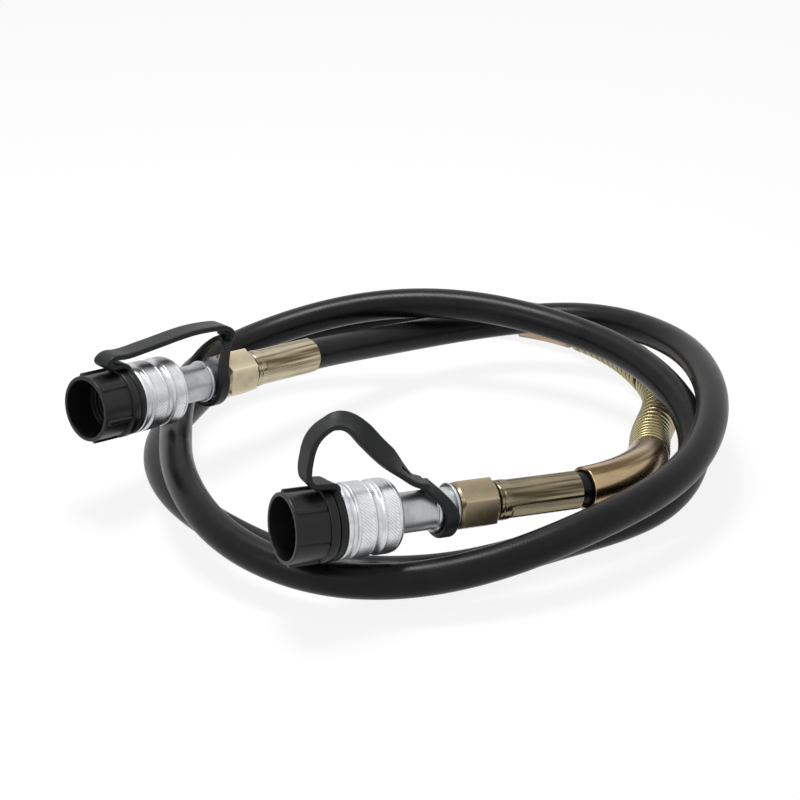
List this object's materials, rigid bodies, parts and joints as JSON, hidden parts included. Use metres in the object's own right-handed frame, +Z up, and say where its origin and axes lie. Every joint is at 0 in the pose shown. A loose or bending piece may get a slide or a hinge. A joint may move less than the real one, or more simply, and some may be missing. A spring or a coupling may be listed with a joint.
{
  "type": "hydraulic hose assembly",
  "caption": "Coiled high-pressure rubber hose with quick couplers, crimped fittings, tethered dust caps and a strip-wound bend guard.",
  "frame": {"origin": "on the floor, under the middle of the box round everything but the free hose", "axes": "+Z up, as the hose lies; +X to the right and +Y away from the picture's viewer"},
  "size_m": [0.3215, 0.3603, 0.0925],
  "materials": {
    "hose_rubber": "semi-matt black rubber cover",
    "zinc_steel": "bright zinc plate",
    "champagne_steel": "pale champagne passivated zinc",
    "bronze_steel": "darker bronze-olive passivated zinc",
    "guard_steel": "olive-yellow passivated zinc",
    "cap_plastic": "semi-gloss black plastic",
    "strap_plastic": "matt dark soft plastic",
    "seal_rubber": "black nitrile",
    "valve_brass": "turned brass",
    "valve_steel": "turned steel",
    "spring_steel": "drawn spring wire"
  },
  "bodies": {
    "hose_assembly": {"hose": "hose_rubber", "ferrule_a": "champagne_steel", "hose_end_a": "seal_rubber", "hose_stem_a": "champagne_steel", "coupler_body_a": "zinc_steel", "thrust_ring_a": "valve_brass", "valve_guide_a": "valve_brass", "valve_spring_a": "spring_steel", "valve_seat_a": "valve_brass", "ferrule_b": "bronze_steel", "hose_end_b": "seal_rubber", "hose_stem_b": "bronze_steel", "coupler_body_b": "zinc_steel", "thrust_ring_b": "valve_brass", "valve_guide_b": "valve_brass", "valve_spring_b": "spring_steel", "valve_seat_b": "valve_brass", "guard_spring": "guard_steel", "guard_sleeve_near": "guard_steel", "guard_sleeve_far": "guard_steel"},
    "collar_a": {"collar_a": "zinc_steel"},
    "strap_a": {"strap_a": "strap_plastic"},
    "cap_a": {"dust_cap_a": "cap_plastic", "cap_gasket_a": "seal_rubber"},
    "poppet_a": {"valve_poppet_a": "valve_steel"},
    "collar_b": {"collar_b": "zinc_steel"},
    "strap_b": {"strap_b": "strap_plastic"},
    "cap_b": {"dust_cap_b": "cap_plastic", "cap_gasket_b": "seal_rubber"},
    "poppet_b": {"valve_poppet_b": "valve_steel"}
  },
  "joints": [
    {"name": "collar_spin_a", "type": "hinge", "parent": "hose_assembly", "child": "collar_a", "pos_m": [-0.11594, -0.02799, 0.05033], "axis": [-0.6902, -0.7147, 0.1132], "continuous": true},
    {"name": "strap_slide_a", "type": "slide", "parent": "hose_assembly", "child": "strap_a", "axis": [-0.6902, -0.7147, 0.1132], "range_m": [0, 0.004]},
    {"name": "cap_turn_a", "type": "hinge", "parent": "strap_a", "child": "cap_a", "pos_m": [-0.13112, -0.04371, 0.05282], "axis": [-0.6902, -0.7147, 0.1132], "range_deg": [0, 720]},
    {"name": "valve_press_a", "type": "slide", "parent": "hose_assembly", "child": "poppet_a", "axis": [0.6902, 0.7147, -0.1132], "range_m": [0, 0.003], "stiffness_N_per_m": 4000, "springref_m": -0.003, "deforming": ["valve_spring_a"]},
    {"name": "collar_spin_b", "type": "hinge", "parent": "hose_assembly", "child": "collar_b", "pos_m": [-0.01064, -0.1448, 0.04295], "axis": [-0.8893, -0.4473, 0.0958], "continuous": true},
    {"name": "strap_slide_b", "type": "slide", "parent": "hose_assembly", "child": "strap_b", "axis": [-0.8893, -0.4473, 0.0958], "range_m": [0, 0.004]},
    {"name": "cap_turn_b", "type": "hinge", "parent": "strap_b", "child": "cap_b", "pos_m": [-0.0302, -0.15464, 0.04506], "axis": [-0.8893, -0.4473, 0.0958], "range_deg": [0, 720]},
    {"name": "valve_press_b", "type": "slide", "parent": "hose_assembly", "child": "poppet_b", "axis": [0.8893, 0.4473, -0.0958], "range_m": [0, 0.003], "stiffness_N_per_m": 4000, "springref_m": -0.003, "deforming": ["valve_spring_b"]}
  ],
  "couplings": [
    {"joint": "strap_slide_a", "follows": "cap_turn_a", "m_per_rad": 0.000318},
    {"joint": "strap_slide_b", "follows": "cap_turn_b", "m_per_rad": 0.000318}
  ]
}
